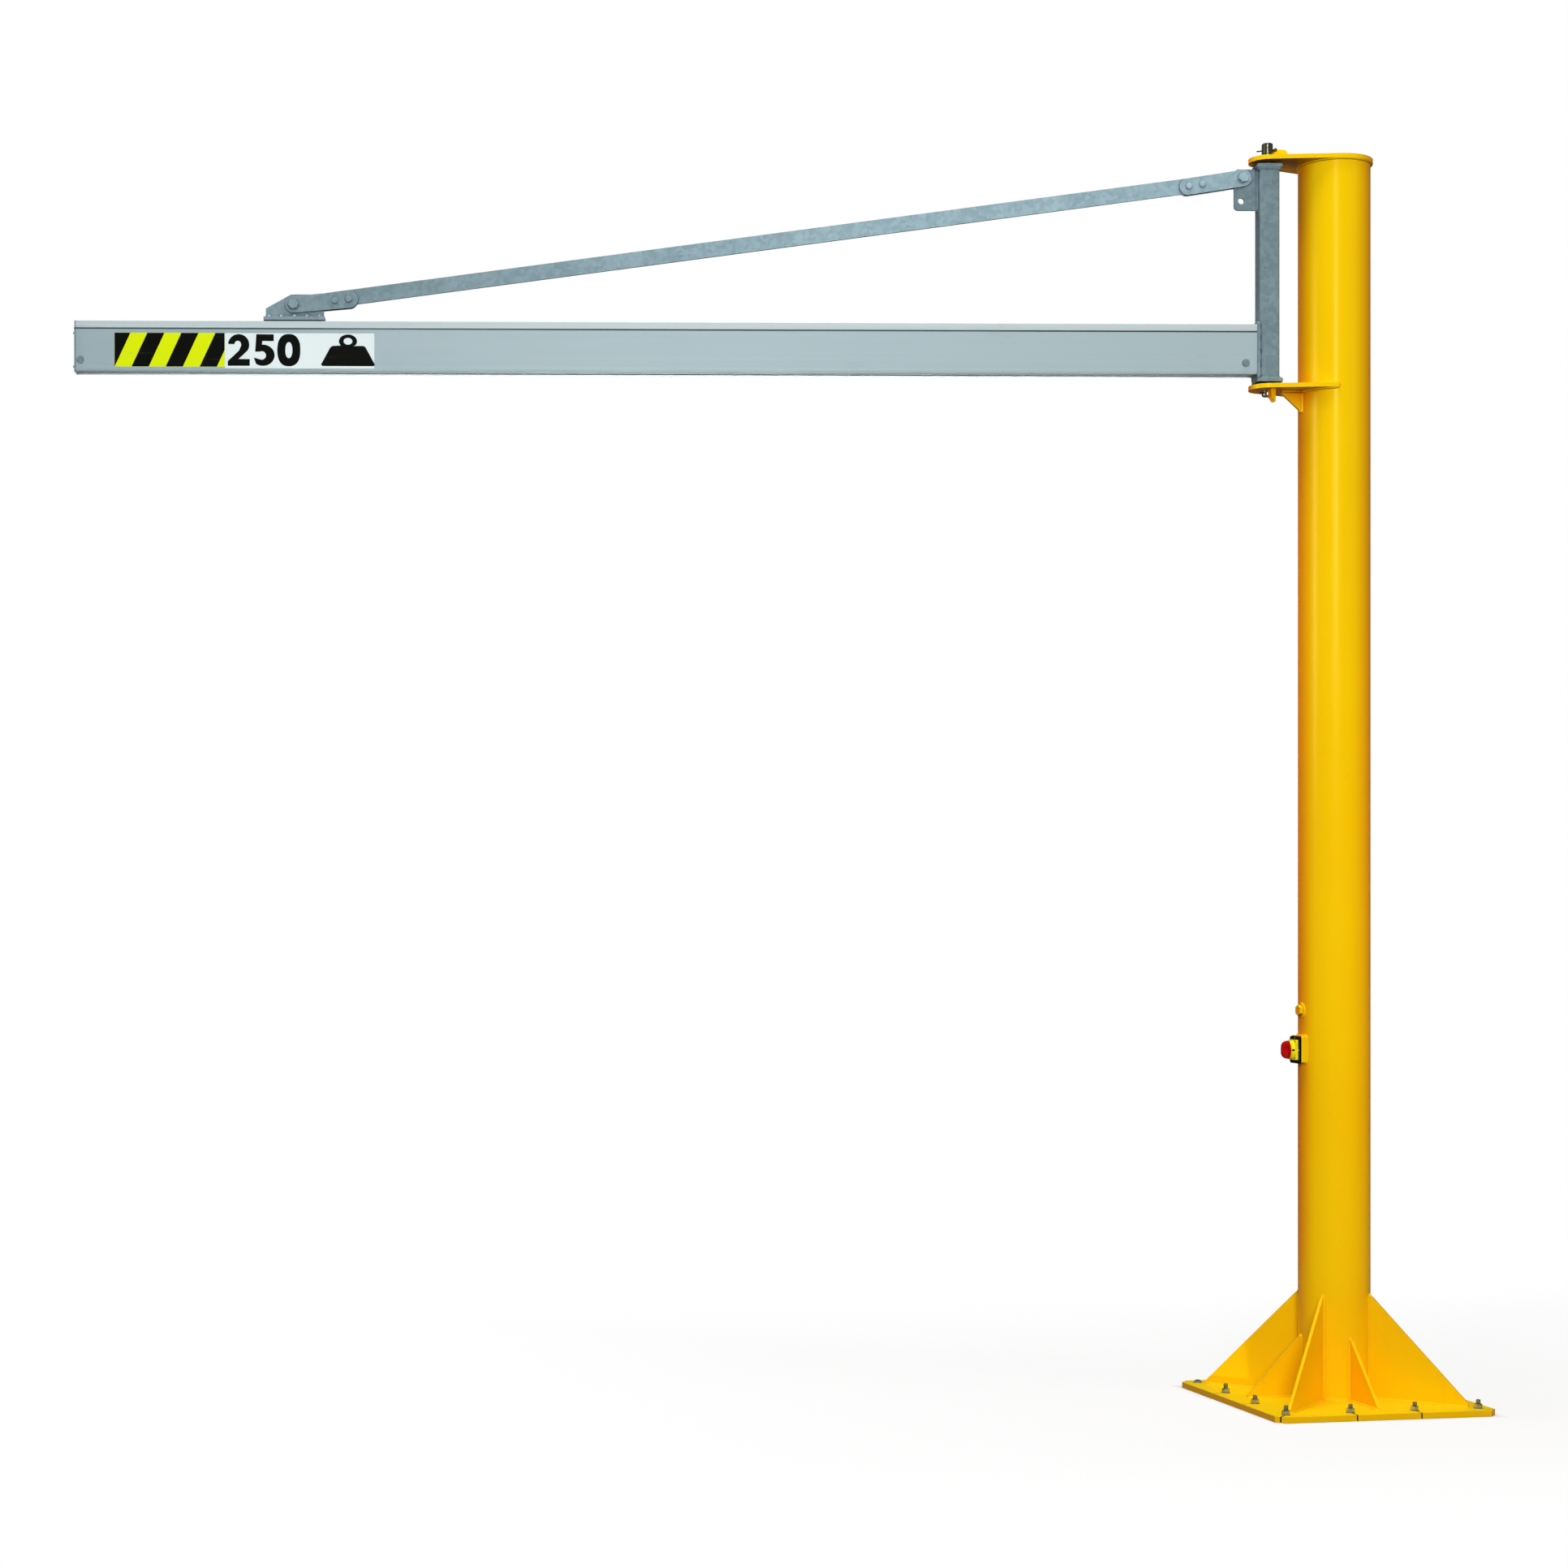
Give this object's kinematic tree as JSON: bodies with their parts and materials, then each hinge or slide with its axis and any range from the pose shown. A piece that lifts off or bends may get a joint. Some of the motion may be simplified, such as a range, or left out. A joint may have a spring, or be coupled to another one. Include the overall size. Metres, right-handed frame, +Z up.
{
  "type": "pillar jib crane",
  "caption": "Pillar-mounted slewing jib crane: a tube pillar on an anchored base plate carries an overbraced hollow jib beam on two hinge brackets, with a rotary isolator switch.",
  "frame": {"origin": "centre of the base plate's underside, on the floor, on the pillar's axis", "axes": "+Z up along the pillar; the base plate's sides and its anchor holes follow X and Y; both hinge brackets and the lower bracket's gusset point towards -X, and the switch 6 degrees from -X towards +Y; at rest the jib points 10 degrees from -X towards +Y"},
  "size_m": [4.7243, 1.1649, 4.373],
  "materials": {
    "pillar_paint": "semi-gloss yellow enamel",
    "galvanised_steel": "dull grey zinc coating",
    "beam_aluminium": "matt anodised extrusion",
    "zinc_steel": "zinc plated",
    "bearing_steel": "oiled dark steel",
    "black_plastic": "matt black moulding",
    "yellow_plastic": "glossy yellow moulding",
    "red_plastic": "glossy red moulding"
  },
  "bodies": {
    "pillar": {"base_plate": "pillar_paint", "column_tube": "pillar_paint", "corner_gusset_1": "pillar_paint", "corner_gusset_2": "pillar_paint", "corner_gusset_3": "pillar_paint", "corner_gusset_4": "pillar_paint", "side_gusset_1": "pillar_paint", "side_gusset_2": "pillar_paint", "side_gusset_3": "pillar_paint", "side_gusset_4": "pillar_paint", "top_bracket": "pillar_paint", "lower_bracket": "pillar_paint", "lower_bracket_gusset": "pillar_paint", "top_keeper": "pillar_paint", "lower_keeper": "pillar_paint", "top_pin": "zinc_steel", "lower_pin": "zinc_steel", "top_split_pin": "zinc_steel", "lower_split_pin": "zinc_steel", "blanking_plug": "pillar_paint", "switch_adapter": "pillar_paint", "switch_frame": "black_plastic", "switch_plate": "yellow_plastic"},
    "switch_handle": {"switch_grip": "red_plastic"},
    "jib": {"hinge_tube": "galvanised_steel", "top_cap": "galvanised_steel", "lower_cap": "galvanised_steel", "top_washer": "bearing_steel", "lower_washer": "bearing_steel", "tie_lug": "galvanised_steel", "beam_end_plate": "galvanised_steel", "beam": "beam_aluminium", "beam_end_cap": "beam_aluminium", "inner_end_stop": "zinc_steel", "outer_end_stop": "zinc_steel", "tie_foot": "galvanised_steel", "tie_bracket_plate": "galvanised_steel", "tie_bar": "galvanised_steel", "upper_link_front": "galvanised_steel", "upper_link_back": "galvanised_steel", "lower_link_front": "galvanised_steel", "lower_link_back": "galvanised_steel", "upper_tie_bolt": "zinc_steel", "lower_tie_bolt": "zinc_steel"}
  },
  "joints": [
    {"name": "slew", "type": "hinge", "parent": "pillar", "child": "jib", "pos_m": [-0.25, 0, 3.9], "axis": [0, 0, 1], "range_deg": [-125, 145]},
    {"name": "isolator", "type": "hinge", "parent": "pillar", "child": "switch_handle", "pos_m": [-0.15912, 0.01672, 1.2255], "axis": [0.9945, -0.1045, 0], "range_deg": [0, 90]}
  ]
}
